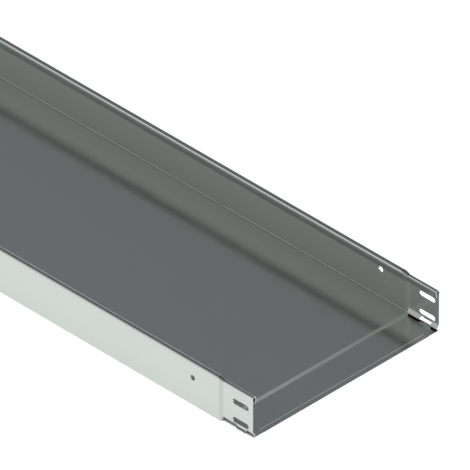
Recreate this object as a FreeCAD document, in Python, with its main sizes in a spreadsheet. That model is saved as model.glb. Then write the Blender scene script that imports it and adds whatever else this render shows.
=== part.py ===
import FreeCAD, Part
import math
import os

import Sketcher

# A cable tray folded from one strip of galvanised sheet steel, 60 mm high and 300 mm wide.
# Each side wall ends at the top in a rounded hem, bent over to the inside, with a lip that leans back
# to the wall. One end is plain. The other is the coupling end: there the whole section steps in by the
# sheet and a clearance, and slides into the plain end of the next tray, where two bolts hold each side.
# Its bottom corners are pressed inwards, so that they pass the bends of the next tray, and are cut open
# in between. A length of 3050 mm lays 3000 mm of tray and leaves 50 mm to slide in.
#
# X runs along the tray, with the coupling end at +X, Y across it and Z up. The origin is in the middle
# of the underside.

SIZES = [
    ("total_length", 3050.0, "over both ends"),
    ("tray_width", 300.0, "over the side walls"),
    ("tray_height", 60.0, "from the underside to the top of the hem"),
    ("sheet", 1.0, "thickness of the steel"),
    ("clearance", 0.2, "play of the coupling end in the next tray"),
    ("bend_radius", 1.0, "inside radius of the bottom bends"),
    ("hem_radius", 3.1, "inside radius of the hem"),
    ("hem_lean", 5.0, "degrees that the lip leans back to the wall"),
    ("lip_end", 49.0, "height of the lip's lower edge"),
    ("hem_drop", 2.2, "how much lower the hem is on the coupling end"),
    ("coupling_run", 45.5, "straight part of the coupling end"),
    ("joggle_run", 7.5, "length of the step from the tray to the coupling end"),
    ("corner_start", 48.0, "from the end to where the corner starts to turn in"),
    ("corner_stop", 29.5, "from the end to where it starts to turn out again"),
    ("corner_fade", 4.0, "length over which it turns out"),
    ("tip_start", 10.5, "from the end to the pressed corner at the tip"),
    ("tip_fade", 1.5, "length over which the tip's corner turns in"),
    ("fold_inset", 3.6, "centre of the corner's lower fold, in from the side"),
    ("fold_radius", 0.25, "inside radius of that fold"),
    ("return_run", 1.94, "flat from the fold up to the nose"),
    ("return_rise", 30.0, "slope of that flat in degrees"),
    ("nose_radius", 0.3, "inside radius of the nose"),
    ("facet_rise", 50.0, "slope in degrees of the facet from the nose to the wall"),
    ("foot_run", 3.4, "each of the two short runs at the wall's foot, which the pressed corner needs"),
    ("notch_start", 31.0, "from the end to where the corner's opening starts at its lower edge"),
    ("notch_slant", 5.0, "how much nearer to the end it starts at its upper edge"),
    ("notch_stop", 10.0, "from the end to the opening's outer end"),
    ("notch_low", 0.95, "lower edge of the opening, beyond the floor's and the wall's meeting line"),
    ("notch_high", 5.0, "upper edge of the opening, beyond that line"),
    ("bolt_slot_length", 25.0, "over both round ends"),
    ("bolt_slot_width", 7.0, "for an M6 bolt"),
    ("bolt_slot_setback", 18.5, "from the end to the middle of the slots"),
    ("bolt_height", 14.0, "height of the lower slot"),
    ("bolt_pitch", 25.0, "from the lower to the upper slot"),
    ("bolt_hole", 7.0, "diameter of the round holes"),
    ("side_hole_setback", 93.5, "from the coupling end to the single hole in each wall"),
    ("ledge_run", 6.5, "width of the ledge along the coupling end's floor"),
    ("ledge_drop", 0.4, "how far the ledge is pressed down"),
    ("ledge_inset", 18.0, "from the side of the tray to the ledge's ends"),
]

doc = FreeCAD.newDocument("CableTray")

sheet = doc.addObject("Spreadsheet::Sheet", "Sizes")
for row, (alias, value, meaning) in enumerate(SIZES, start=1):
    sheet.set("A%d" % row, alias)
    sheet.set("B%d" % row, str(value))
    sheet.set("C%d" % row, meaning)
    sheet.setAlias("B%d" % row, alias)
doc.recompute()

size = {alias: float(sheet.get(alias)) for alias, value, meaning in SIZES}

tray = doc.addObject("PartDesign::Body", "Tray")
tray.Label = "tray"


def origin_plane(role):
    """One of the body's own origin planes."""
    return next(item for item in tray.Origin.OriginFeatures if item.Role == role)


def new_sketch(name, role, offset=None):
    """A sketch on an origin plane, moved along the plane's normal by a sized offset."""
    sketch = tray.newObject("Sketcher::SketchObject", name)
    sketch.AttachmentSupport = [(origin_plane(role), "")]
    sketch.MapMode = "FlatFace"
    if offset:
        sketch.setExpression(".AttachmentOffset.Base.z", offset)
    return sketch


def as_drawn(sketch, kind, places):
    """The value that a dimension has in the sketch as it is drawn."""
    edge = sketch.Geometry[places[0]]
    if kind == "Radius":
        return edge.Radius
    if kind == "Angle":
        return edge.LastParameter - edge.FirstParameter
    if kind == "Distance":
        return edge.length()
    points = [sketch.getPoint(*places[i:i + 2]) for i in range(0, len(places), 2)]
    reach = points[-1] - points[0] if len(points) > 1 else points[0]
    return reach.x if kind == "DistanceX" else reach.y


def bind(sketch, kind, *places, to):
    """Add a dimension to a sketch and tie it to an expression of the sizes."""
    value = as_drawn(sketch, kind, places)
    index = sketch.addConstraint(Sketcher.Constraint(kind, *places, value))
    sketch.setExpression("Constraints[%d]" % index, to)


def from_end(setback):
    """Place along X of something measured back from the coupling end."""
    return "Sizes.total_length / 2 - (%s)" % setback


# Half sections of the bent sheet, from the tray's middle line to the lip of the hem.
# A section is a walk along the outer face: a step is a run (its length, None) or a bend (its turn to the
# left in degrees, its inside radius). All sections have the same steps, so that a ruled loft carries each
# edge into its own: the plain corner has three thirds of its bend and two runs where the pressed one has
# its fold, its return, its nose, its facet and its bend.

STEP_NAMES = ("floor", "fold", "return", "nose", "facet", "bend", "wall", "hem", "lip")
STEP = {name: number for number, name in enumerate(STEP_NAMES)}


def walk(height, steps):
    """Edges of the outer and the inner face of a strip that starts at Y = 0 and this height.
    Gives for each edge its geometry and whether it is drawn against the walk."""
    outer, inner = [], []
    point = FreeCAD.Vector(0, height, 0)
    heading = 0.0
    thickness = size["sheet"]
    for amount, radius in steps:
        along = FreeCAD.Vector(math.cos(heading), math.sin(heading), 0)
        left = FreeCAD.Vector(-along.y, along.x, 0)
        if radius is None:
            end = point + along * amount
            outer.append((Part.LineSegment(point, end), False))
            inner.append((Part.LineSegment(point + left * thickness, end + left * thickness), False))
            point = end
            continue
        turn = math.radians(amount)
        side = math.copysign(1, turn)
        radii = (radius + thickness, radius) if side > 0 else (radius, radius + thickness)
        centre = point + left * side * radii[0]
        first, last = sorted((heading - side * math.pi / 2, heading - side * math.pi / 2 + turn))
        for face, face_radius in zip((outer, inner), radii):
            circle = Part.Circle(centre, FreeCAD.Vector(0, 0, 1), face_radius)
            face.append((Part.ArcOfCircle(circle, first, last), side < 0))
        heading += turn
        point = centre + FreeCAD.Vector(math.sin(heading), -math.cos(heading), 0) * side * radii[0]
    return outer, inner


def draw_walk(sketch, height, steps):
    """Draw both faces of a strip and close it at its two ends. Gives the geometry numbers of the faces."""
    faces = []
    for edges in walk(height, steps):
        faces.append([(sketch.addGeometry(edge, False), backwards) for edge, backwards in edges])
    for face in faces:
        for (here, here_back), (there, there_back) in zip(face, face[1:]):
            straight = all(isinstance(sketch.Geometry[i], Part.LineSegment) for i in (here, there))
            joint = "Coincident" if straight else "Tangent"
            ends = (here, 1 if here_back else 2, there, 2 if there_back else 1)
            sketch.addConstraint(Sketcher.Constraint(joint, *ends))
    outer, inner = ([index for index, backwards in face] for face in faces)
    for position, number in ((1, 0), (2, -1)):
        ends = (faces[0][number][0], faces[1][number][0])
        points = [sketch.Geometry[index].StartPoint if position == 1 else sketch.Geometry[index].EndPoint
                  for index in ends]
        cap = sketch.addGeometry(Part.LineSegment(*points), False)
        sketch.addConstraint(Sketcher.Constraint("Coincident", cap, 1, ends[0], position))
        sketch.addConstraint(Sketcher.Constraint("Coincident", cap, 2, ends[1], position))
    return outer, inner, cap


def size_radii(sketch, outer, inner, step, radius, to_the_left=True):
    """Tie the radii of one bend: the inside of the bend has the named radius, the outside one sheet more."""
    tight, wide = (inner, outer) if to_the_left else (outer, inner)
    bind(sketch, "Radius", tight[STEP[step]], to=radius)
    bind(sketch, "Radius", wide[STEP[step]], to="%s + Sizes.sheet" % radius)


def size_frame(sketch, outer, inner, cap, lift, inset, top, hem):
    """Tie what all sections share: the floor, the wall, the hem and its lip."""
    floor, wall, arch, lip = (outer[STEP[name]] for name in ("floor", "wall", "hem", "lip"))
    floor_inside, wall_inside, lip_inside = (inner[STEP[name]] for name in ("floor", "wall", "lip"))
    for line in (floor, floor_inside):
        sketch.addConstraint(Sketcher.Constraint("Horizontal", line))
        sketch.addConstraint(Sketcher.Constraint("PointOnObject", line, 1, -2))
    bind(sketch, "DistanceY", floor, 1, to=lift)
    for line in (wall, wall_inside):
        sketch.addConstraint(Sketcher.Constraint("Vertical", line))
    bind(sketch, "DistanceX", wall, 1, to="Sizes.tray_width / 2 - (%s)" % inset)
    sketch.addConstraint(Sketcher.Constraint("Equal", wall, wall_inside))
    size_radii(sketch, outer, inner, "hem", hem)
    bind(sketch, "DistanceY", arch, 3,
         to="Sizes.tray_height - (%s) - (%s) - Sizes.sheet" % (top, hem))
    bind(sketch, "Angle", arch, to="(180 + Sizes.hem_lean) * 1 deg")
    sketch.addConstraint(Sketcher.Constraint("Parallel", lip, lip_inside))
    sketch.addConstraint(Sketcher.Constraint("Perpendicular", lip, cap))
    bind(sketch, "DistanceY", lip, 2, to="Sizes.lip_end")


def hem_steps(arch_height, hem):
    """The hem and the lip, which ends at its own height."""
    lean = math.radians(size["hem_lean"])
    lip_start = arch_height - (hem + size["sheet"]) * math.sin(lean)
    lip_run = (lip_start - size["lip_end"]) / math.cos(lean)
    return [(180 + size["hem_lean"], hem), (lip_run, None)]


def plain_section(name, setback, share):
    """The tray's own section, or that section stepped in by a share of the coupling end's step.
    The bend is drawn in three arcs and the wall in three runs, which the pressed corner needs."""
    step = share * (size["sheet"] + size["clearance"])
    hem = size["hem_radius"] - step
    arch_height = size["tray_height"] - share * size["hem_drop"] - hem - size["sheet"]
    outside = size["bend_radius"] + size["sheet"]
    foot = (size["foot_run"], None)
    third = (30, size["bend_radius"])
    wall = (arch_height - step - outside - 2 * size["foot_run"], None)
    steps = [(size["tray_width"] / 2 - step - outside, None), third, third, third, foot, foot, wall]
    sketch = new_sketch(name, "YZ_Plane", from_end(setback))
    outer, inner, cap = draw_walk(sketch, step, steps + hem_steps(arch_height, hem))
    stepped = "%g * (Sizes.sheet + Sizes.clearance)" % share
    size_frame(sketch, outer, inner, cap, lift=stepped, inset=stepped,
               top="%g * Sizes.hem_drop" % share, hem="(Sizes.hem_radius - %s)" % stepped)
    sketch.addConstraint(Sketcher.Constraint("Coincident", outer[STEP["fold"]], 3, inner[STEP["fold"]], 3))
    for bend in ("fold", "return", "nose"):
        size_radii(sketch, outer, inner, bend, "Sizes.bend_radius")
    for face in (outer, inner):
        for bend in ("fold", "return"):
            sketch.addConstraint(Sketcher.Constraint("Angle", face[STEP[bend]], math.radians(30)))
        for run in ("facet", "bend"):
            sketch.addConstraint(Sketcher.Constraint("Vertical", face[STEP[run]]))
            bind(sketch, "Distance", face[STEP[run]], to="Sizes.foot_run")
    return sketch


def pressed_section(name, setback):
    """The section of the coupling end with its corner pressed in. From the floor's edge the sheet folds
    back over itself, rises to a nose, and slopes out from there to the wall."""
    thickness = size["sheet"]
    step = thickness + size["clearance"]
    hem = size["hem_radius"] - step
    arch_height = size["tray_height"] - size["hem_drop"] - hem - thickness
    fold = 180 - size["return_rise"]
    nose = 180 - size["return_rise"] - size["facet_rise"]
    bend = 90 - size["facet_rise"]
    corner = [(size["tray_width"] / 2 - size["fold_inset"], None), (fold, size["fold_radius"]),
              (size["return_run"], None), (-nose, size["nose_radius"])]
    facet_start = walk(step, corner + [(1.0, None)])[0][-1][0].StartPoint
    facet_slope = math.radians(size["facet_rise"])
    bend_outside = size["bend_radius"] + thickness
    reach = size["tray_width"] / 2 - step - facet_start.x - bend_outside * (1 - math.sin(facet_slope))
    facet_run = reach / math.cos(facet_slope)
    wall_start = facet_start.y + facet_run * math.sin(facet_slope) + bend_outside * math.cos(facet_slope)
    steps = corner + [(facet_run, None), (bend, size["bend_radius"]), (arch_height - wall_start, None)]
    sketch = new_sketch(name, "YZ_Plane", from_end(setback))
    outer, inner, cap = draw_walk(sketch, step, steps + hem_steps(arch_height, hem))
    stepped = "(Sizes.sheet + Sizes.clearance)"
    size_frame(sketch, outer, inner, cap, lift=stepped, inset=stepped,
               top="Sizes.hem_drop", hem="(Sizes.hem_radius - %s)" % stepped)
    fold_arc, nose_arc = outer[STEP["fold"]], outer[STEP["nose"]]
    sketch.addConstraint(Sketcher.Constraint("Coincident", fold_arc, 3, inner[STEP["fold"]], 3))
    bind(sketch, "DistanceX", fold_arc, 3, to="Sizes.tray_width / 2 - Sizes.fold_inset")
    size_radii(sketch, outer, inner, "fold", "Sizes.fold_radius")
    size_radii(sketch, outer, inner, "nose", "Sizes.nose_radius", to_the_left=False)
    size_radii(sketch, outer, inner, "bend", "Sizes.bend_radius")
    bind(sketch, "Distance", outer[STEP["return"]], to="Sizes.return_run")
    bind(sketch, "Angle", fold_arc, to="(180 - Sizes.return_rise) * 1 deg")
    bind(sketch, "Angle", nose_arc, to="(180 - Sizes.return_rise - Sizes.facet_rise) * 1 deg")
    for run in ("return", "facet"):
        faces = outer[STEP[run]], inner[STEP[run]]
        sketch.addConstraint(Sketcher.Constraint("Parallel", *faces))
        sketch.addConstraint(Sketcher.Constraint("Equal", *faces))
    return sketch


joggle_start = "Sizes.coupling_run + Sizes.joggle_run"
corner_share = (size["coupling_run"] + size["joggle_run"] - size["corner_start"]) / size["joggle_run"]
corner_out = "Sizes.corner_stop - Sizes.corner_fade"
tip_in = "Sizes.tip_start - Sizes.tip_fade"

sections = [
    plain_section("TraySection", joggle_start, 0.0),
    plain_section("CornerStartSection", "Sizes.corner_start", corner_share),
    pressed_section("PressedSection", "Sizes.coupling_run"),
    pressed_section("PressedEndSection", "Sizes.corner_stop"),
    plain_section("OpenSection", corner_out, 1.0),
    plain_section("OpenEndSection", "Sizes.tip_start", 1.0),
    pressed_section("TipSection", tip_in),
    pressed_section("EndSection", "0"),
]
doc.recompute()

# The tray's half, drawn out from the coupling end to the plain end.
half = tray.newObject("PartDesign::Pad", "TrayHalf")
half.Profile = sections[0]
half.Reversed = True
half.setExpression("Length", "Sizes.total_length - (%s)" % joggle_start)
doc.recompute()

# The half of the coupling end: each section goes over straight into the next one.
coupling = tray.newObject("PartDesign::AdditiveLoft", "CouplingHalf")
coupling.Profile = sections[0]
coupling.Sections = sections[1:]
coupling.Ruled = True
doc.recompute()

end = size["total_length"] / 2
side = size["tray_width"] / 2

# The opening in the corner. It is drawn on a plane that slopes up at 45 degrees towards the side, and
# cut square to that plane, right through the bend.
notch_sketch = new_sketch("CornerOpeningSketch", "XY_Plane")
notch_sketch.AttachmentOffset = FreeCAD.Placement(FreeCAD.Vector(), FreeCAD.Rotation(FreeCAD.Vector(1, 0, 0), 45))
notch_low, notch_high = ((side + size[edge]) / math.sqrt(2) for edge in ("notch_low", "notch_high"))
corners = [(end - size["notch_start"], notch_low), (end - size["notch_stop"], notch_low),
           (end - size["notch_stop"], notch_high),
           (end - size["notch_start"] + size["notch_slant"], notch_high)]
for here, there in zip(corners, corners[1:] + corners[:1]):
    notch_sketch.addGeometry(Part.LineSegment(FreeCAD.Vector(*here, 0), FreeCAD.Vector(*there, 0)), False)
for edge in range(4):
    notch_sketch.addConstraint(Sketcher.Constraint("Coincident", edge, 2, (edge + 1) % 4, 1))
for edge, kind in ((0, "Horizontal"), (1, "Vertical"), (2, "Horizontal")):
    notch_sketch.addConstraint(Sketcher.Constraint(kind, edge))
bind(notch_sketch, "DistanceX", 0, 1, to=from_end("Sizes.notch_start"))
bind(notch_sketch, "DistanceX", 0, 2, to=from_end("Sizes.notch_stop"))
bind(notch_sketch, "DistanceX", 2, 2, to=from_end("Sizes.notch_start - Sizes.notch_slant"))
bind(notch_sketch, "DistanceY", 0, 1, to="(Sizes.tray_width / 2 + Sizes.notch_low) / sqrt(2)")
bind(notch_sketch, "DistanceY", 2, 1, to="(Sizes.tray_width / 2 + Sizes.notch_high) / sqrt(2)")
notch = tray.newObject("PartDesign::Pocket", "CornerOpening")
notch.Profile = notch_sketch
notch.Type = "ThroughAll"
notch.SideType = "Symmetric"
doc.recompute()


def add_circle(sketch, along, height, diameter):
    """A round hole with its place and diameter as expressions; numbers come from the first recompute."""
    circle = sketch.addGeometry(Part.Circle(FreeCAD.Vector(along[0], height[0], 0),
                                            FreeCAD.Vector(0, 0, 1), size[diameter] / 2), False)
    bind(sketch, "Radius", circle, to="Sizes.%s / 2" % diameter)
    bind(sketch, "DistanceX", circle, 3, to=along[1])
    bind(sketch, "DistanceY", circle, 3, to=height[1])


def add_slot(sketch, along, height):
    """A slot with round ends that runs along the tray."""
    radius = size["bolt_slot_width"] / 2
    reach = size["bolt_slot_length"] / 2 - radius
    up = FreeCAD.Vector(0, 0, 1)
    middle = FreeCAD.Vector(along[0], height[0], 0)
    right, left = middle + FreeCAD.Vector(reach, 0, 0), middle - FreeCAD.Vector(reach, 0, 0)
    over = FreeCAD.Vector(0, radius, 0)
    edges = [sketch.addGeometry(edge, False) for edge in (
        Part.ArcOfCircle(Part.Circle(right, up, radius), -math.pi / 2, math.pi / 2),
        Part.LineSegment(right + over, left + over),
        Part.ArcOfCircle(Part.Circle(left, up, radius), math.pi / 2, 3 * math.pi / 2),
        Part.LineSegment(left - over, right - over))]
    for number, edge in enumerate(edges):
        sketch.addConstraint(Sketcher.Constraint("Tangent", edge, 2, edges[(number + 1) % 4], 1))
    sketch.addConstraint(Sketcher.Constraint("Horizontal", edges[1]))
    bind(sketch, "Radius", edges[0], to="Sizes.bolt_slot_width / 2")
    half_reach = "(Sizes.bolt_slot_length - Sizes.bolt_slot_width) / 2"
    bind(sketch, "DistanceX", edges[0], 3, to="%s + %s" % (along[1], half_reach))
    bind(sketch, "DistanceX", edges[2], 3, to="%s - %s" % (along[1], half_reach))
    bind(sketch, "DistanceY", edges[0], 3, to=height[1])


def cut_wall(name, sketch):
    """Cut a sketch of the side view through the half's wall."""
    cut = tray.newObject("PartDesign::Pocket", name)
    cut.Profile = sketch
    cut.Type = "ThroughAll"
    doc.recompute()


low = (size["bolt_height"], "Sizes.bolt_height")
high = (size["bolt_height"] + size["bolt_pitch"], "Sizes.bolt_height + Sizes.bolt_pitch")

# The bolt slots of the coupling end, two over each other in the wall.
slots = new_sketch("BoltSlotSketch", "XZ_Plane")
slot_place = (end - size["bolt_slot_setback"], from_end("Sizes.bolt_slot_setback"))
add_slot(slots, slot_place, low)
add_slot(slots, slot_place, high)
cut_wall("BoltSlots", slots)

# The round holes of the plain end, that the next tray's slots lie behind.
far_setback = size["coupling_run"] + size["joggle_run"] - size["bolt_slot_setback"]
far_place = (far_setback - end, "Sizes.coupling_run + Sizes.joggle_run - Sizes.bolt_slot_setback"
             " - Sizes.total_length / 2")
holes = new_sketch("BoltHoleSketch", "XZ_Plane")
add_circle(holes, far_place, low, "bolt_hole")
add_circle(holes, far_place, high, "bolt_hole")
cut_wall("BoltHoles", holes)

# The single hole in the wall behind the coupling end.
single = new_sketch("SideHoleSketch", "XZ_Plane")
add_circle(single, (end - size["side_hole_setback"], from_end("Sizes.side_hole_setback")), high, "bolt_hole")
cut_wall("SideHoles", single)

# The other half.
both = tray.newObject("PartDesign::Mirrored", "BothHalves")
both.TransformMode = "Whole shape"
both.MirrorPlane = (origin_plane("XZ_Plane"), [""])
tray.Tip = both
doc.recompute()


def ledge_sketch(name, height):
    """The outline of the ledge, from above."""
    sketch = new_sketch(name, "XY_Plane", height)
    reach = side - size["ledge_inset"]
    start = end - size["ledge_run"]
    places = [(start, -reach), (end, -reach), (end, reach), (start, reach)]
    for here, there in zip(places, places[1:] + places[:1]):
        sketch.addGeometry(Part.LineSegment(FreeCAD.Vector(*here, 0), FreeCAD.Vector(*there, 0)), False)
    for edge in range(4):
        sketch.addConstraint(Sketcher.Constraint("Coincident", edge, 2, (edge + 1) % 4, 1))
        sketch.addConstraint(Sketcher.Constraint("Vertical" if edge % 2 else "Horizontal", edge))
    bind(sketch, "DistanceX", 0, 1, to=from_end("Sizes.ledge_run"))
    bind(sketch, "DistanceX", 0, 2, to=from_end("0"))
    bind(sketch, "DistanceY", 0, 1, to="Sizes.ledge_inset - Sizes.tray_width / 2")
    bind(sketch, "DistanceY", 2, 1, to="Sizes.tray_width / 2 - Sizes.ledge_inset")
    return sketch


# The ledge along the edge of the coupling end's floor: pressed down above and standing out below.
ledge_top = tray.newObject("PartDesign::Pocket", "LedgeAbove")
ledge_top.Profile = ledge_sketch("LedgeAboveSketch", "2 * Sizes.sheet + Sizes.clearance")
ledge_top.setExpression("Length", "Sizes.ledge_drop")
doc.recompute()
ledge_base = tray.newObject("PartDesign::Pad", "LedgeBelow")
ledge_base.Profile = ledge_sketch("LedgeBelowSketch", "Sizes.sheet + Sizes.clearance")
ledge_base.Reversed = True
ledge_base.setExpression("Length", "Sizes.ledge_drop")
tray.Tip = ledge_base
doc.recompute()

for item in doc.Objects:
    if "Invalid" in item.State or "Error" in item.State:
        raise RuntimeError("%s is in state %s" % (item.Name, item.State))
shape = tray.Shape
if shape.isNull() or not shape.isValid() or len(shape.Solids) != 1:
    raise RuntimeError("the tray is not one valid solid")

os.makedirs("parts", exist_ok=True)
shape.exportStep(os.path.join("parts", tray.Label + ".step"))
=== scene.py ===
import math

import bmesh
import bpy
import numpy as np
from mathutils import Matrix, Vector


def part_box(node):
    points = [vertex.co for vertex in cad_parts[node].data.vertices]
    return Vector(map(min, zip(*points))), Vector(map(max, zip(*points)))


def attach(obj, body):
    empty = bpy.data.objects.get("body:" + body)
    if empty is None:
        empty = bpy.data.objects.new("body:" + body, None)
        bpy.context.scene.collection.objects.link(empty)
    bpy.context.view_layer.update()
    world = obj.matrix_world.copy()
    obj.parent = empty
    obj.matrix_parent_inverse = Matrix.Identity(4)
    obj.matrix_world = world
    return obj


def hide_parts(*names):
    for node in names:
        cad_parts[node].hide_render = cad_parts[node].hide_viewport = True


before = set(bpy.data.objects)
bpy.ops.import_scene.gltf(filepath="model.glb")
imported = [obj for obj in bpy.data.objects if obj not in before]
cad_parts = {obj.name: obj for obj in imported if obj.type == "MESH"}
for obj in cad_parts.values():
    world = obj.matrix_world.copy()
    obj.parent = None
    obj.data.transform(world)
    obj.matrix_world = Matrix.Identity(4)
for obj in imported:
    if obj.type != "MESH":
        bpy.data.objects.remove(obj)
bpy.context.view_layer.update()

# The tray: one strip of galvanised sheet steel, 1 mm thick, cut, pressed and folded up at both sides.
# Its section is a walk along the sheet's outer face from the middle of the floor to the hem's lip: runs,
# given by a length, and bends, given by a turn to the left in degrees and an inside radius.

mm = 0.001
low_corner, high_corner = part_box("tray")
end_x = high_corner.x
half_width = high_corner.y
height = high_corner.z
length = high_corner.x - low_corner.x
sheet = 1.0 * mm
clearance = 0.2 * mm
bend_radius = 1.0 * mm
hem_radius = 3.1 * mm
hem_lean = 5.0
lip_end = 49.0 * mm
hem_drop = 2.2 * mm
inward = sheet + clearance

# The corner of the coupling end where it is pressed in, and the opening in it. Its rises, and
# the hem's lean above, are in degrees.
fold_inset = 3.6 * mm
fold_radius = 0.25 * mm
return_run = 1.94 * mm
return_rise = 30.0
nose_radius = 0.3 * mm
facet_rise = 50.0
notch_low = 0.95 * mm
notch_high = 6.2 * mm
notch_slant = 3.8 * mm

# The slots and holes for the bolts, with their places from the end and from the underside.
slot_length = 25.0 * mm
slot_width = 7.0 * mm
slot_setback = 18.5 * mm
bolt_low = 14.0 * mm
bolt_high = bolt_low + 25.0 * mm
side_hole_setback = 93.5 * mm
patch_margin = 0.6 * mm
hole_points = 40

# The shallow ledge across the floor at its very end, and how close the rows of points stand to an edge.
ledge_run = 6.5 * mm
ledge_drop = 0.4 * mm
ledge_inset = 18.0 * mm
ledge_riser = 0.1 * mm
row_gap = 0.3 * mm


def walk(steps, places, depth):
    """Points of a face that lies this deep under the sheet's outer face. A place is the number of a step
    plus the share of it that is walked. A run moves straight on; a bend turns about its centre, and the
    deeper face has the smaller circle in a left turn and the larger one in a right turn."""
    point, heading, begun = np.array([0.0, 0.0]), 0.0, []
    for amount, radius in steps:
        begun.append((*point, heading, amount, radius or 0.0, radius is None))
        if radius is None:
            point = point + amount * np.array([math.cos(heading), math.sin(heading)])
        else:
            turn = math.radians(amount)
            outside = radius + (sheet if turn > 0 else 0)
            reach = math.copysign(outside, turn)
            point = point + reach * np.array([math.sin(heading + turn) - math.sin(heading),
                                              math.cos(heading) - math.cos(heading + turn)])
            heading += turn
    step = np.minimum(places.astype(int), len(steps) - 1)
    share = places - step
    x, y, heading, amount, radius, straight = np.array(begun, float)[step].T
    turn = np.where(straight, 0.0, np.radians(amount))
    side = np.sign(turn)
    outside = side * (radius + np.where(side > 0, sheet, 0.0))
    now = heading + share * turn
    centre_x = x - np.sin(heading) * outside
    centre_y = y + np.cos(heading) * outside
    run = share * amount
    across = np.where(straight, x + np.cos(heading) * run - np.sin(heading) * depth,
                      centre_x + np.sin(now) * (outside - depth))
    up = np.where(straight, y + np.sin(heading) * run + np.cos(heading) * depth,
                  centre_y - np.cos(now) * (outside - depth))
    return np.stack([across, up], axis=1)


def hem_steps(arch_height, radius):
    """The hem's round top and its straight lip."""
    lean = math.radians(hem_lean)
    lip_run = (arch_height - (radius + sheet) * math.sin(lean) - lip_end) / math.cos(lean)
    return [(180 + hem_lean, radius), (lip_run, None)]


# Heights of three rows of points in the walls: the top of the lower band of slots and holes, and the foot
# and the top of the upper one. The lower band stands on the wall's foot.
wall_rows = np.array([bolt_low + slot_width / 2 + patch_margin, bolt_high - slot_width / 2 - patch_margin,
                      bolt_high + slot_width / 2 + patch_margin])
facet_angle = math.radians(facet_rise)


def pressed_steps():
    """The coupling end's section where its corner is pressed in: the sheet folds back over the floor's
    edge, turns at a nose, and slopes out to the wall."""
    corner = [(half_width - fold_inset, None), (180 - return_rise, fold_radius), (return_run, None),
              (return_rise + facet_rise - 180, nose_radius)]
    nose_end = walk(corner + [(sheet, None)], np.array([4.0]), 0.0)[0]
    outside = bend_radius + sheet
    reach = half_width - inward - nose_end[0] - outside * (1 - math.sin(facet_angle))
    facet_run = reach / math.cos(facet_angle)
    wall_foot = inward + nose_end[1] + facet_run * math.sin(facet_angle) + outside * math.cos(facet_angle)
    arch_height = height - hem_drop - hem_radius + inward - sheet
    wall = (arch_height - wall_foot, None)
    steps = corner + [(facet_run, None), (90 - facet_rise, bend_radius), wall]
    return steps + hem_steps(arch_height, hem_radius - inward), wall_foot


pressed, wall_foot = pressed_steps()


def plain_steps(stepped_in, depth):
    """The section with a plain round bend, stepped in or not. The bend and the wall are divided where the
    corner's opening is cut: at a slant of 45 degrees through the bend, and square to the wall."""
    step = inward if stepped_in else 0.0
    arch_height = height - (hem_drop if stepped_in else 0.0) - hem_radius + step - sheet
    outside = bend_radius + sheet
    cut_angle = 45 + math.degrees(math.asin(notch_low / math.sqrt(2) / (outside - depth)))
    cut_height = inward + notch_high
    foot = step + outside
    steps = [(half_width - step - outside, None), (cut_angle / 2, bend_radius),
             (cut_angle / 2, bend_radius), (90 - cut_angle, bend_radius), (cut_height - foot, None),
             (wall_foot - cut_height, None), (arch_height - wall_foot, None)]
    return steps + hem_steps(arch_height, hem_radius - step)


fold_rows, nose_rows, foot_rows, hem_rows = 10, 8, 5, 18
return_marks = np.array([0, 0.5])
facet_marks = np.array([0, 0.08, 0.92])


def half_section(steps, lift, depth):
    """One face of half a section, as points (Y, Z): evenly spaced through the bends, and in the runs close
    beside the bends' tangents and the ledge's side, so that the shading of a bend ends there."""
    floor_run, wall_run, lip_run = steps[0][0], steps[6][0], steps[8][0]
    ledge_side = half_width - ledge_inset
    floor_marks = np.array([0, *(ledge_side + row_gap * np.array([-4, -1, 1])), floor_run - row_gap])
    wall_marks = np.array([wall_foot, *wall_rows, wall_foot + wall_run - row_gap]) - wall_foot
    lip_marks = np.array([0, row_gap, lip_run])
    places = np.concatenate([
        floor_marks / floor_run, 1 + np.arange(fold_rows) / fold_rows, 2 + return_marks,
        3 + np.arange(nose_rows) / nose_rows, 4 + facet_marks, 5 + np.arange(foot_rows) / foot_rows,
        6 + wall_marks / wall_run, 7 + np.arange(hem_rows) / hem_rows, 8 + lip_marks / lip_run])
    return walk(steps, places, depth) + [0.0, lift]


# The rows in which the bend, the corner's opening and the two bands of bolt holes begin and end.
bend_row = 5
corner_low_row = bend_row + fold_rows + len(return_marks)
corner_high_row = corner_low_row + nose_rows + len(facet_marks)
first_band_row = corner_high_row + foot_rows
second_band_row = first_band_row + 2


def ramp(along, start, stop, rounding):
    """Rises from 0 to 1 between two places; averaging over twice the rounding softens its two corners."""
    def summed(place):
        inside = np.clip(place, start, stop)
        return (inside - start) ** 2 / (2 * (stop - start)) + np.maximum(place - stop, 0)
    return (summed(along + rounding) - summed(along - rounding)) / (2 * rounding)


def around(place, rounding):
    """Stations through a rounded corner: four evenly spaced, and one beyond them on either side."""
    return place + rounding * np.array([-2, -1, -1 / 3, 1 / 3, 1, 2])


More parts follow.
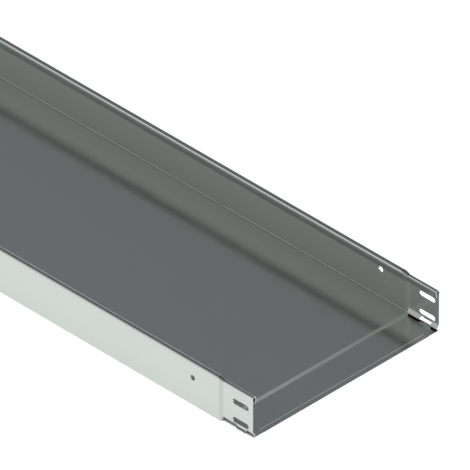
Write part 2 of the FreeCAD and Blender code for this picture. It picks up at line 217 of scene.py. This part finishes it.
# Places along the tray, from its end: the joggle, the pressed corner, its tip, the opening and the holes.
before_joggle = -60.0 * mm
joggle_start, joggle_stop, joggle_rounding = -53.0 * mm, -45.5 * mm, 1.0 * mm
floor_joggle_start = -51.7 * mm
corner_start, corner_in = -49.0 * mm, -47.2 * mm
corner_stop, corner_fade = -29.5 * mm, 4.0 * mm
tip_start, tip_fade = -12.0 * mm, 1.5 * mm
corner_rounding = 0.3 * mm
notch_start, notch_stop, unslanted = -29.8 * mm, -11.5 * mm, -20.0 * mm
slot_start = -slot_setback - slot_length / 2 - patch_margin
slot_stop = -slot_setback + slot_length / 2 + patch_margin
hole_reach = slot_width / 2 + patch_margin
far_hole = -length - joggle_start - slot_setback
ledge_edges = -ledge_run + ledge_riser * np.array([-1, 1])
stations = np.unique(np.round(np.concatenate([
    [-length, far_hole - hole_reach, far_hole + hole_reach, -length / 2],
    [-side_hole_setback - hole_reach, -side_hole_setback + hole_reach, before_joggle],
    around(joggle_start, joggle_rounding), around(joggle_stop, joggle_rounding),
    around(floor_joggle_start, joggle_rounding),
    around(corner_start, corner_rounding), around(corner_in, corner_rounding),
    around(corner_stop, corner_rounding), around(corner_stop + corner_fade, corner_rounding),
    around(tip_start, corner_rounding), around(tip_start + tip_fade, corner_rounding),
    [slot_start, notch_start, notch_stop, slot_stop],
    ledge_edges, [0.0]]), 6))


def slanted_by():
    """How far each point of the grid moves towards the end, so that the opening starts at a slant: nothing
    at its lower edge, the whole slant at its upper edge, and nothing again at the wall's foot. Along the
    tray the shift begins at the opening's start and dies away behind it."""
    rows = half_section(pressed, inward, 0.0)[:, 1]
    low, high = rows[corner_low_row], rows[corner_high_row]
    up = np.clip((rows - low) / (high - low), 0, 1) * (np.arange(len(rows)) >= corner_low_row)
    back = np.clip((wall_foot - rows) / (wall_foot - high), 0, 1)
    behind = np.clip((unslanted - stations) / (unslanted - notch_start), 0, 1) * (stations >= notch_start)
    return notch_slant * behind[:, None] * np.minimum(up, back)


def cornering():
    """How far the corner is pressed in along the tray, from 0 to 1."""
    return (ramp(stations, corner_start, corner_in, corner_rounding)
            - ramp(stations, corner_stop, corner_stop + corner_fade, corner_rounding)
            + ramp(stations, tip_start, tip_start + tip_fade, corner_rounding))


def sheet_face(depth):
    """A face of the whole tray as a grid of points, station by row. Along the tray the plain section goes
    over into the stepped-in one, and there into the one with the pressed corner and back. The floor begins
    to rise a little nearer to the end than the walls begin to come in."""
    tray_half, stepped_half = (half_section(plain_steps(stepped, depth), inward * stepped, depth)
                               for stepped in (False, True))
    pressed_half = half_section(pressed, inward, depth)
    wall_share, floor_share = (ramp(stations, start, joggle_stop, joggle_rounding)[:, None]
                               for start in (joggle_start, floor_joggle_start))
    rise_share = np.where(np.arange(len(tray_half)) <= corner_high_row, floor_share, wall_share)
    joggled = np.stack([np.broadcast_to(wall_share, rise_share.shape), rise_share], axis=2)
    plain = tray_half + joggled * (stepped_half - tray_half)
    half = plain + cornering()[:, None, None] * (pressed_half - stepped_half)
    on_floor = np.abs(half[..., 0]) < half_width - ledge_inset
    lowered = np.interp(stations, ledge_edges, [0, ledge_drop])
    half[..., 1] -= lowered[:, None] * on_floor
    mirrored = half[:, :0:-1] * [-1.0, 1.0]
    section = np.concatenate([mirrored, half], axis=1)
    along = end_x + stations[:, None] + slanted_by()
    along = np.concatenate([along[:, :0:-1], along], axis=1)
    return np.concatenate([along[..., None], section], axis=2)


joggle_edge = 1.5 * mm
half_worked = 0.5


def worked_shares():
    """How much the steel is worked at each point of the outer and then the inner face, from 0 to 1: fully
    on the joggle's outer side, which the die rubs, and half as much over the pressed corner and on the
    inner side of the floor's joggle."""
    rows = np.abs(np.arange(row_count) - middle_row)
    corner_rows = (rows >= bend_row) & (rows <= corner_high_row)
    joggle = (ramp(stations, joggle_start, joggle_start + joggle_edge, joggle_edge / 2)
              - ramp(stations, joggle_stop - joggle_edge, joggle_stop, joggle_edge / 2))[:, None]
    corner = half_worked * cornering()[:, None] * corner_rows
    floor = half_worked * joggle * (rows < bend_row)
    return np.concatenate([np.maximum(corner, joggle), corner + floor]).ravel()


outer, inner = sheet_face(0.0), sheet_face(sheet)
station_count, row_count = outer.shape[:2]
middle_row = row_count // 2
points = [outer.reshape(-1, 3), inner.reshape(-1, 3)]
outer_ids = np.arange(station_count * row_count).reshape(station_count, row_count)
inner_ids = outer_ids + station_count * row_count
polygons = []


def at_station(place):
    """Number of the station at a place along the tray."""
    return int(np.argmin(np.abs(stations - place)))


def side_rows(low, high):
    """A band of rows on the right half and the same band on the left half."""
    return (middle_row + low, middle_row + high), (middle_row - high, middle_row - low)


def ribbon(line, other):
    """Faces between two lines of points with as many points each."""
    polygons.extend(np.stack([line[:-1], line[1:], other[1:], other[:-1]], axis=1).tolist())


def loop_around(ids, columns, rows):
    """The points on the border of a block of cells, once round."""
    block = ids[columns[0]:columns[1] + 1, rows[0]:rows[1] + 1]
    return np.concatenate([block[:-1, 0], block[-1, :-1], block[:0:-1, -1], block[0, :0:-1]])


def ring(border, border_angles, hole, hole_angles):
    """Triangles between a border and the hole in it. Both are walked round together, and each point that
    is passed makes a triangle with the two points that the walk stands at. The walk goes over to the next
    point of the border halfway there, so that each point of the hole is tied to the nearest corner."""
    border, hole = border[np.argsort(border_angles)], hole[np.argsort(hole_angles)]
    turned = np.sort(border_angles)
    before = np.roll(turned, 1)
    before[0] -= 2 * math.pi
    angles = np.concatenate([(turned + before) / 2, np.sort(hole_angles)])
    on_border = np.concatenate([np.ones(len(border), bool), np.zeros(len(hole), bool)])
    on_border = on_border[np.argsort(angles, kind="stable")]
    border_at = np.cumsum(on_border) - 1
    hole_at = np.cumsum(~on_border) - 1
    tip = np.where(on_border, border[border_at], hole[hole_at])
    last = np.where(on_border, border[border_at - 1], hole[hole_at - 1])
    facing = np.where(on_border, hole[hole_at], border[border_at])
    polygons.extend(np.stack([last, tip, facing], axis=1).tolist())


# The cells of the grid that stay sheet once the holes and the corners' openings are cut.
keep = np.ones((station_count - 1, row_count - 1), bool)


def cut_hole(centre_along, centre_height, hole_length, columns, rows):
    """Cut a round or slotted hole through a wall. Its outline is a circle that is drawn apart along the
    tray; the block of cells around it gives way to a ring on each face, and a ribbon lines the hole."""
    keep[columns[0]:columns[1], rows[0]:rows[1]] = False
    turn = np.linspace(0, 2 * math.pi, hole_points, endpoint=False) + math.pi / hole_points
    drawn = np.sign(np.cos(turn)) * (hole_length - slot_width) / 2
    across, up = np.cos(turn) * slot_width / 2 + drawn, np.sin(turn) * slot_width / 2
    stretch = hole_length / slot_width
    holes = []
    for ids, face in ((outer_ids, outer), (inner_ids, inner)):
        wall_y = face[columns[0], rows[0], 1]
        first = sum(len(part) for part in points)
        points.append(np.stack([end_x + centre_along + across, np.full(len(turn), wall_y),
                                centre_height + up], axis=1))
        hole = np.arange(len(turn)) + first
        border = loop_around(ids, columns, rows)
        place = face.reshape(-1, 3)[border - ids[0, 0]]
        angles = np.arctan2((place[:, 2] - centre_height) * stretch, place[:, 0] - end_x - centre_along)
        ring(border, angles % (2 * math.pi), hole, np.arctan2(up * stretch, across) % (2 * math.pi))
        holes.append(np.append(hole, hole[0]))
    ribbon(*holes)


slot_columns = (at_station(slot_start), at_station(slot_stop))
side_columns = (at_station(-side_hole_setback - hole_reach), at_station(-side_hole_setback + hole_reach))
far_columns = (at_station(far_hole - hole_reach), at_station(far_hole + hole_reach))
bands = ((bolt_low, side_rows(first_band_row, first_band_row + 1)),
         (bolt_high, side_rows(second_band_row, second_band_row + 1)))
for hole_height, both_sides in bands:
    for rows in both_sides:
        cut_hole(-slot_setback, hole_height, slot_length, slot_columns, rows)
        cut_hole(far_hole, hole_height, slot_width, far_columns, rows)
        if hole_height == bolt_high:
            cut_hole(-side_hole_setback, hole_height, slot_width, side_columns, rows)

notch_columns = (at_station(notch_start), at_station(notch_stop))
for rows in side_rows(corner_low_row, corner_high_row):
    keep[notch_columns[0]:notch_columns[1], rows[0]:rows[1]] = False
    rims = [loop_around(ids, notch_columns, rows) for ids in (outer_ids, inner_ids)]
    ribbon(*(np.append(rim, rim[0]) for rim in rims))

for ids in (outer_ids, inner_ids):
    corners = [ids[:-1, :-1], ids[1:, :-1], ids[1:, 1:], ids[:-1, 1:]]
    polygons.extend(np.stack([corner[keep] for corner in corners], axis=1).tolist())
for line in ((0, slice(None)), (-1, slice(None)), (slice(None), 0), (slice(None), -1)):
    ribbon(outer_ids[line], inner_ids[line])

mesh = bpy.data.meshes.new("folded_tray")
mesh.from_pydata(np.concatenate(points), [], polygons)
worked = mesh.attributes.new("worked", "FLOAT", "POINT")
shares = worked_shares()
worked.data.foreach_set("value", np.pad(shares, (0, len(mesh.vertices) - len(shares))))
shell = bmesh.new()
shell.from_mesh(mesh)
bmesh.ops.delete(shell, geom=[vert for vert in shell.verts if not vert.link_faces], context="VERTS")
bmesh.ops.recalc_face_normals(shell, faces=shell.faces)
shell.to_mesh(mesh)
shell.free()
sharp_turn = math.radians(32)
mesh.shade_smooth()
mesh.set_sharp_from_angle(angle=sharp_turn)
tray = bpy.data.objects.new("folded_tray", mesh)
bpy.context.scene.collection.objects.link(tray)
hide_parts("tray")
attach(tray, "root")

# The zinc coating: a satin light grey metal, a little greenish, with a fine grain along the rolling
# direction and the faint clouds of small zinc crystals. It is duller where the steel is worked. Painted
# shade darkens its colour in creases and wide corners, where little light gets in.

zinc_colour = (0.45, 0.484, 0.463)
zinc_shades = (0.98, 1.02)
zinc_roughness = (0.20, 0.24)
added_roughness = 0.30
grain_scale = (60, 1400, 1400)
crystal_scale = 420.0
cloud_scale = 14.0
cloud_share, crystal_share = 0.5, 0.25
pattern_low, pattern_high = 0.3, 0.7
# Painted shade in the colour, for narrow creases and for wide corners: how far the shade reaches, how open
# they are where it is deepest and where it ends, and how much light is left where it is deepest.
corner_shades = ((6 * mm, 0.16, 0.65, 0.05), (75 * mm, 0.5, 0.95, 0.88))


def galvanised_steel():
    """Satin zinc. Stretched noise gives the rolling grain, round noise the clouds and cells the crystals;
    mixed, they shift the colour, the roughness and the bump by a little. The colour is then multiplied by
    how open the place is, near and far, which paints shade into creases and wide corners."""
    material = bpy.data.materials.new("galvanised_steel")
    material.use_nodes = True
    nodes, links = material.node_tree.nodes, material.node_tree.links
    shader = nodes["Principled BSDF"]
    shader.inputs["Metallic"].default_value = 1.0
    place = nodes.new("ShaderNodeTexCoord")
    along = nodes.new("ShaderNodeMapping")
    along.inputs["Scale"].default_value = grain_scale
    links.new(place.outputs["Object"], along.inputs["Vector"])
    grain = nodes.new("ShaderNodeTexNoise")
    grain.inputs["Scale"].default_value = 1.0
    grain.inputs["Detail"].default_value = 3.0
    links.new(along.outputs["Vector"], grain.inputs["Vector"])
    crystals = nodes.new("ShaderNodeTexVoronoi")
    crystals.inputs["Scale"].default_value = crystal_scale
    links.new(place.outputs["Object"], crystals.inputs["Vector"])
    clouds = nodes.new("ShaderNodeTexNoise")
    clouds.inputs["Scale"].default_value = cloud_scale
    clouds.inputs["Detail"].default_value = 4.0
    links.new(place.outputs["Object"], clouds.inputs["Vector"])

    mixed = nodes.new("ShaderNodeMix")
    mixed.inputs["Factor"].default_value = cloud_share
    links.new(grain.outputs["Fac"], mixed.inputs["A"])
    links.new(clouds.outputs["Fac"], mixed.inputs["B"])
    with_crystals = nodes.new("ShaderNodeMix")
    with_crystals.inputs["Factor"].default_value = crystal_share
    links.new(mixed.outputs["Result"], with_crystals.inputs["A"])
    links.new(crystals.outputs["Color"], with_crystals.inputs["B"])

    colour = nodes.new("ShaderNodeValToRGB")
    for stop, position, level in zip(colour.color_ramp.elements, (pattern_low, pattern_high), zinc_shades):
        stop.position = position
        stop.color = (*(channel * level for channel in zinc_colour), 1)
    links.new(with_crystals.outputs["Result"], colour.inputs["Fac"])

    # Painted shade: ambient occlusion near and far darkens the zinc colour in creases and wide corners.
    open_share = nodes.new("ShaderNodeMath")
    open_share.operation = "MULTIPLY"
    for socket, (reach, closed, wide_open, least) in zip(open_share.inputs, corner_shades):
        crease = nodes.new("ShaderNodeAmbientOcclusion")
        crease.samples = 8
        crease.only_local = True
        crease.inputs["Distance"].default_value = reach
        share = nodes.new("ShaderNodeMapRange")
        share.inputs["From Min"].default_value = closed
        share.inputs["From Max"].default_value = wide_open
        share.inputs["To Min"].default_value = least
        share.inputs["To Max"].default_value = 1.0
        links.new(crease.outputs["AO"], share.inputs["Value"])
        links.new(share.outputs["Result"], socket)
    # The zinc colour with the painted shade of creases and corners multiplied in.
    painted_shade = nodes.new("ShaderNodeVectorMath")
    painted_shade.operation = "SCALE"
    links.new(colour.outputs["Color"], painted_shade.inputs[0])
    links.new(open_share.outputs["Value"], painted_shade.inputs["Scale"])
    links.new(painted_shade.outputs["Vector"], shader.inputs["Base Color"])

    rough = nodes.new("ShaderNodeMapRange")
    rough.inputs["From Min"].default_value = pattern_low
    rough.inputs["From Max"].default_value = pattern_high
    rough.inputs["To Min"].default_value = zinc_roughness[0]
    rough.inputs["To Max"].default_value = zinc_roughness[1]
    links.new(with_crystals.outputs["Result"], rough.inputs["Value"])
    worked_steel = nodes.new("ShaderNodeAttribute")
    worked_steel.attribute_name = "worked"
    duller = nodes.new("ShaderNodeMath")
    duller.operation = "MULTIPLY_ADD"
    duller.inputs[1].default_value = added_roughness
    links.new(worked_steel.outputs["Fac"], duller.inputs[0])
    links.new(rough.outputs["Result"], duller.inputs[2])
    links.new(duller.outputs["Value"], shader.inputs["Roughness"])

    bump = nodes.new("ShaderNodeBump")
    bump.inputs["Strength"].default_value = 0.01
    bump.inputs["Distance"].default_value = 0.0002
    links.new(with_crystals.outputs["Result"], bump.inputs["Height"])
    links.new(bump.outputs["Normal"], shader.inputs["Normal"])
    return material


mesh.materials.append(galvanised_steel())

# The studio: a white floor without an edge, a soft lamp overhead, and a room that is bright low down all
# round and higher up on the left, where the tray's hems and pressed corners mirror it, and dim above.

floor_reach = 60.0


def white_floor():
    """Matt white paper that catches the lamp's light and the tray's shadow, and shines by itself with a
    strength of 1 where the camera looks at it, straight or in a mirror."""
    material = bpy.data.materials.new("white_floor")
    material.use_nodes = True
    nodes, links = material.node_tree.nodes, material.node_tree.links
    nodes.clear()
    seen = nodes.new("ShaderNodeLightPath")
    shine = nodes.new("ShaderNodeEmission")
    strength = seen.outputs["Is Camera Ray"]
    for kind in ("Is Glossy Ray", "Is Transmission Ray"):
        either = nodes.new("ShaderNodeMath")
        either.operation = "MAXIMUM"
        links.new(strength, either.inputs[0])
        links.new(seen.outputs[kind], either.inputs[1])
        strength = either.outputs["Value"]
    links.new(strength, shine.inputs["Strength"])
    paper = nodes.new("ShaderNodeBsdfDiffuse")
    paper.inputs["Color"].default_value = (0.8, 0.8, 0.8, 1)
    both = nodes.new("ShaderNodeAddShader")
    links.new(shine.outputs["Emission"], both.inputs[0])
    links.new(paper.outputs["BSDF"], both.inputs[1])
    output = nodes.new("ShaderNodeOutputMaterial")
    links.new(both.outputs["Shader"], output.inputs["Surface"])
    return material


floor_mesh = bpy.data.meshes.new("studio_floor")
floor_corners = np.array([[-1, -1, 0], [1, -1, 0], [1, 1, 0], [-1, 1, 0]]) * floor_reach
floor_mesh.from_pydata(floor_corners.tolist(), [], [(0, 1, 2, 3)])
floor_mesh.materials.append(white_floor())
studio_floor = bpy.data.objects.new("studio_floor", floor_mesh)
bpy.context.scene.collection.objects.link(studio_floor)

# The room's places are shares of an axis in the direction of view. A top or an edge is where the soft end
# of a light starts and stops. The window's two levels stand behind the places where they are reached.
upward, leftward = Vector((0, 0, 1)), Vector((-1, 0, 0))
brighter = Vector((-0.50, 0.0, -0.87))
mean_level, level_change, darkest = 0.43, 0.57, 0.10
window_side = Vector((-0.80, -0.60, 0.0))
window_top = (0.56, 0.70)
window_edge = (0.15, 0.45)
window_dimmer, window_brighter = (0.50, 1.023), (0.80, 1.32)
backdrop_level = 1.30
backdrop_top = (0.14, 0.375)
room_tint = (0.93, 0.94, 1.01)
window_tint = (1.0, 0.96, 0.985)

world = bpy.data.worlds.new("studio")
bpy.context.scene.world = world
world.use_nodes = True
world_nodes, world_links = world.node_tree.nodes, world.node_tree.links
direction = world_nodes.new("ShaderNodeTexCoord")


def along_axis(axis, lows, highs, kind):
    """Goes from one level to another while the direction's dot product with an axis goes from one place
    to another. Lows and highs each hold a place and the level there."""
    product = world_nodes.new("ShaderNodeVectorMath")
    product.operation = "DOT_PRODUCT"
    product.inputs[1].default_value = axis
    world_links.new(direction.outputs["Generated"], product.inputs[0])
    change = world_nodes.new("ShaderNodeMapRange")
    change.interpolation_type = kind
    for socket, value in zip(("From Min", "To Min", "From Max", "To Max"), (*lows, *highs)):
        change.inputs[socket].default_value = value
    world_links.new(product.outputs["Value"], change.inputs["Value"])
    return change.outputs["Result"]


def combined(operation, first, second):
    """One level out of two; the second may be a plain number."""
    both = world_nodes.new("ShaderNodeMath")
    both.operation = operation
    world_links.new(first, both.inputs[0])
    if isinstance(second, float):
        both.inputs[1].default_value = second
    else:
        world_links.new(second, both.inputs[1])
    return both.outputs["Value"]


dim = along_axis(brighter, (-1.0, mean_level - level_change), (1.0, mean_level + level_change), "LINEAR")
dim = combined("MAXIMUM", dim, darkest)
window = along_axis(upward, (window_top[0], 1.0), (window_top[1], 0.0), "SMOOTHSTEP")
from_the_side = along_axis(window_side, (window_edge[0], 0.0), (window_edge[1], 1.0), "SMOOTHSTEP")
window = combined("MULTIPLY", window, from_the_side)
window = combined("MULTIPLY", window, along_axis(leftward, window_dimmer, window_brighter, "LINEAR"))
backdrop = along_axis(upward, (backdrop_top[0], backdrop_level), (backdrop_top[1], 0.0), "SMOOTHSTEP")
bright = combined("MAXIMUM", window, backdrop)
tinted = world_nodes.new("ShaderNodeCombineColor")
for channel, dim_tint, bright_tint in zip(tinted.inputs, room_tint, window_tint):
    dim_channel = combined("MULTIPLY", dim, dim_tint)
    bright_channel = combined("MULTIPLY", bright, bright_tint)
    world_links.new(combined("MAXIMUM", dim_channel, bright_channel), channel)
world_links.new(tinted.outputs["Color"], world_nodes["Background"].inputs["Color"])

lamp = bpy.data.lights.new("overhead_softbox", "AREA")
lamp.shape = "RECTANGLE"
lamp.size, lamp.size_y = 5.0, 3.0
lamp.energy = 40.0
overhead = bpy.data.objects.new("overhead_softbox", lamp)
overhead.location = (0.5, 0.0, 3.5)
overhead.visible_glossy = False
bpy.context.scene.collection.objects.link(overhead)

# The camera: it looks down along the diagonal of a cube at the coupling end, from so far away and through
# a lens so long that parallel edges stay nearly parallel.

lens = 1700.0
sensor = 36.0
target = Vector((1.25754, 0.0898, 0.02898))
distance = 25.132
azimuth, elevation, roll = (math.radians(angle) for angle in (45.17, 35.13, -0.042))

camera_data = bpy.data.cameras.new("camera")
camera_data.lens = lens
camera_data.sensor_width = sensor
camera = bpy.data.objects.new("camera", camera_data)
turned = (Matrix.Rotation(azimuth, 3, "Z") @ Matrix.Rotation(math.pi / 2 - elevation, 3, "X")
          @ Matrix.Rotation(roll, 3, "Z"))
camera.location = target + turned @ Vector((0, 0, distance))
camera.rotation_mode = "QUATERNION"
camera.rotation_quaternion = turned.to_quaternion()
camera_data.clip_start = distance * 0.1
camera_data.clip_end = distance * 4
bpy.context.scene.collection.objects.link(camera)
bpy.context.scene.camera = camera
bpy.context.scene.view_settings.view_transform = "Standard"
